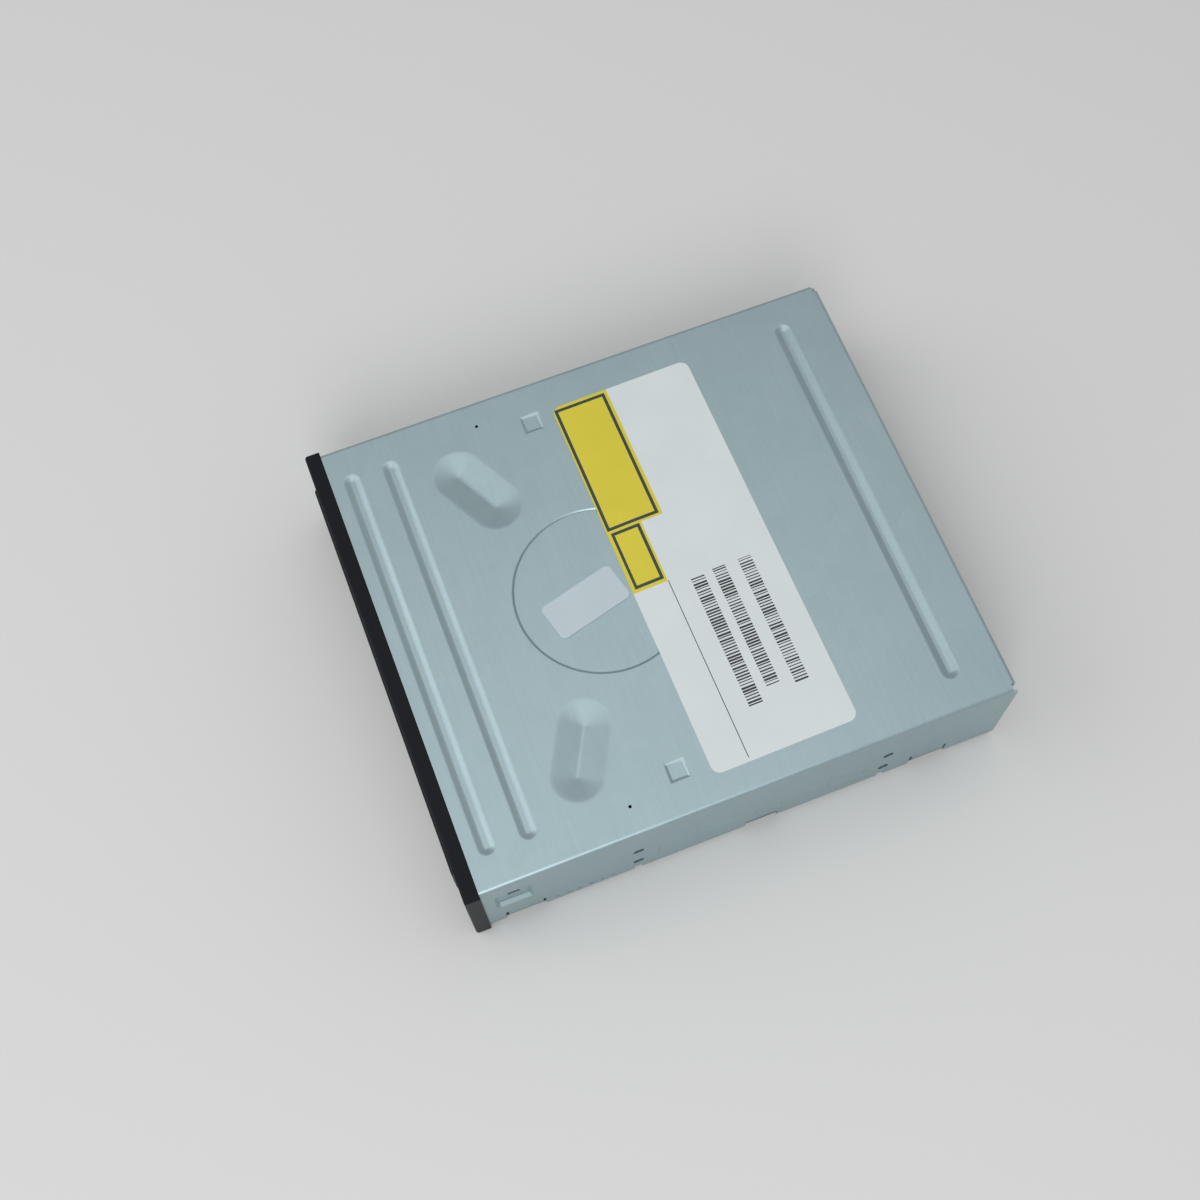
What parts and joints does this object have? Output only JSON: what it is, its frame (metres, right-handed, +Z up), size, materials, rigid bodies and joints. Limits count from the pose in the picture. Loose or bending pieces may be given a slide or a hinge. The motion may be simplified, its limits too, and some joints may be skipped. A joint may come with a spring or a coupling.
{
  "type": "optical disc drive",
  "caption": "Half-height computer disc drive: pressed steel case, dark bezel, motorised disc tray, lifting spindle and laser pickup, rear data, power and audio sockets.",
  "frame": {"origin": "centre of the bounding box's base", "axes": "+X to the right seen from the front, +Y from the bezel to the rear, +Z up"},
  "size_m": [0.148, 0.1712, 0.0414],
  "materials": {
    "case_steel": "galvanised sheet, satin",
    "base_steel": "galvanised sheet, satin",
    "bezel_plastic": "fine-textured, near black",
    "button_plastic": "satin, near black",
    "light_plastic": "frosted light guide",
    "frame_plastic": "moulded, dark grey",
    "tray_plastic": "moulded, fine-textured",
    "gear_plastic": "natural acetal",
    "slider_plastic": "natural acetal",
    "belt_rubber": "matte",
    "motor_steel": "drawn can, zinc-plated",
    "shaft_steel": "ground",
    "plate_steel": "stamped sheet",
    "damper_rubber": "matte",
    "screw_steel": "zinc-plated",
    "turntable_plastic": "moulded",
    "ring_rubber": "matte",
    "pickup_metal": "die-cast",
    "lens_shield": "black",
    "lens_glass": "coated, clear",
    "bridge_metal": "stamped sheet",
    "clamper_plastic": "moulded",
    "magnet_ferrite": "sintered, dark",
    "board_laminate": "solder-masked laminate",
    "chip_resin": "moulded resin",
    "can_metal": "sleeved cans",
    "socket_plastic": "moulded, off-white",
    "data_plastic": "moulded, black",
    "power_plastic": "moulded, off-white",
    "pin_metal": "plated",
    "label_paper": "printed film, no wording",
    "sticker_film": "silver-grey film, no wording"
  },
  "bodies": {
    "case": {"top_cover": "case_steel", "bottom_cover": "base_steel", "front_bezel": "bezel_plastic", "light_pipe": "light_plastic", "main_frame": "frame_plastic", "drive_belt": "belt_rubber", "loading_motor": "motor_steel", "clamp_bridge": "bridge_metal", "main_board": "board_laminate", "board_chips": "chip_resin", "capacitors": "can_metal", "ribbon_socket": "socket_plastic", "front_board": "board_laminate", "tact_switch": "chip_resin", "indicator_lamp": "light_plastic", "data_connector": "data_plastic", "data_pins": "pin_metal", "power_connector": "power_plastic", "power_pins": "pin_metal", "jumper_block": "data_plastic", "jumper_cap": "data_plastic", "analogue_connector": "socket_plastic", "digital_connector": "data_plastic", "cover_screws": "screw_steel", "bridge_screws": "screw_steel", "rating_label": "label_paper", "part_sticker": "sticker_film"},
    "tray": {"disc_tray": "tray_plastic", "tray_front": "bezel_plastic"},
    "tray_gear": {"tray_gear": "gear_plastic"},
    "pulley_gear": {"pulley_gear": "gear_plastic"},
    "motor_drive": {"motor_pulley": "gear_plastic", "motor_shaft": "shaft_steel"},
    "cam_slider": {"cam_slider": "slider_plastic"},
    "traverse": {"lift_frame": "frame_plastic", "rubber_dampers": "damper_rubber", "damper_screws": "screw_steel", "traverse_plate": "plate_steel", "rod_holders": "slider_plastic", "guide_rods": "shaft_steel", "spindle_motor": "motor_steel", "sled_motor": "motor_steel", "screw_bracket": "plate_steel"},
    "spindle": {"spindle_rotor": "motor_steel", "turntable": "turntable_plastic", "turntable_ring": "ring_rubber"},
    "pickup": {"pickup_body": "pickup_metal", "lens_cover": "lens_shield", "objective_lens": "lens_glass", "screw_follower": "slider_plastic"},
    "lead_screw": {"lead_screw": "shaft_steel"},
    "clamper": {"clamper": "clamper_plastic", "clamp_magnet": "magnet_ferrite", "clamp_yoke": "plate_steel"},
    "eject_button": {"eject_button": "button_plastic"}
  },
  "joints": [
    {"name": "tray_slide", "type": "slide", "parent": "case", "child": "tray", "axis": [0, -1, 0], "range_m": [0, 0.13]},
    {"name": "tray_gear_spin", "type": "hinge", "parent": "case", "child": "tray_gear", "pos_m": [-0.0449, -0.06275, 0.018], "axis": [0, 0, 1], "range_deg": [-2, 1067.1]},
    {"name": "pulley_gear_spin", "type": "hinge", "parent": "case", "child": "pulley_gear", "pos_m": [-0.028, -0.06275, 0.014], "axis": [0, 0, 1], "range_deg": [-2664.2, 4]},
    {"name": "motor_spin", "type": "hinge", "parent": "case", "child": "motor_drive", "pos_m": [-0.004, -0.06275, 0.014], "axis": [0, 0, 1], "range_deg": [-7101.8, 8]},
    {"name": "traverse_tilt", "type": "hinge", "parent": "case", "child": "traverse", "pos_m": [0, 0.06565, 0.014], "axis": [-1, 0, 0], "range_deg": [0, 5.06]},
    {"name": "cam_slide", "type": "slide", "parent": "case", "child": "cam_slider", "axis": [1, 0, 0], "range_m": [0, 0.0241]},
    {"name": "spindle_spin", "type": "hinge", "parent": "traverse", "child": "spindle", "pos_m": [0, -0.0167, 0.01776], "axis": [0, -0.0881, 0.9961], "continuous": true},
    {"name": "clamper_spin", "type": "hinge", "parent": "case", "child": "clamper", "pos_m": [0, -0.01605, 0.033], "axis": [0, 0, 1], "continuous": true},
    {"name": "pickup_slide", "type": "slide", "parent": "traverse", "child": "pickup", "axis": [0, 0.9961, 0.0881], "range_m": [0, 0.0365]},
    {"name": "screw_spin", "type": "hinge", "parent": "traverse", "child": "lead_screw", "pos_m": [0.0345, 0.02921, 0.0174], "axis": [0, 0.9961, 0.0881], "range_deg": [-4, 4384]},
    {"name": "eject_press", "type": "slide", "parent": "case", "child": "eject_button", "axis": [0, 1, 0], "range_m": [0, 0.0008], "stiffness_N_per_m": 800}
  ],
  "couplings": [
    {"joint": "tray_gear_spin", "follows": "tray_slide", "rad_per_m": 142.86},
    {"joint": "pulley_gear_spin", "follows": "tray_slide", "rad_per_m": -357.14},
    {"joint": "motor_spin", "follows": "tray_slide", "rad_per_m": -952.38},
    {"joint": "cam_slide", "follows": "traverse_tilt", "m_per_rad": 0.27198},
    {"joint": "clamper_spin", "follows": "spindle_spin", "ratio": 1},
    {"joint": "screw_spin", "follows": "pickup_slide", "rad_per_m": 2094.4}
  ]
}
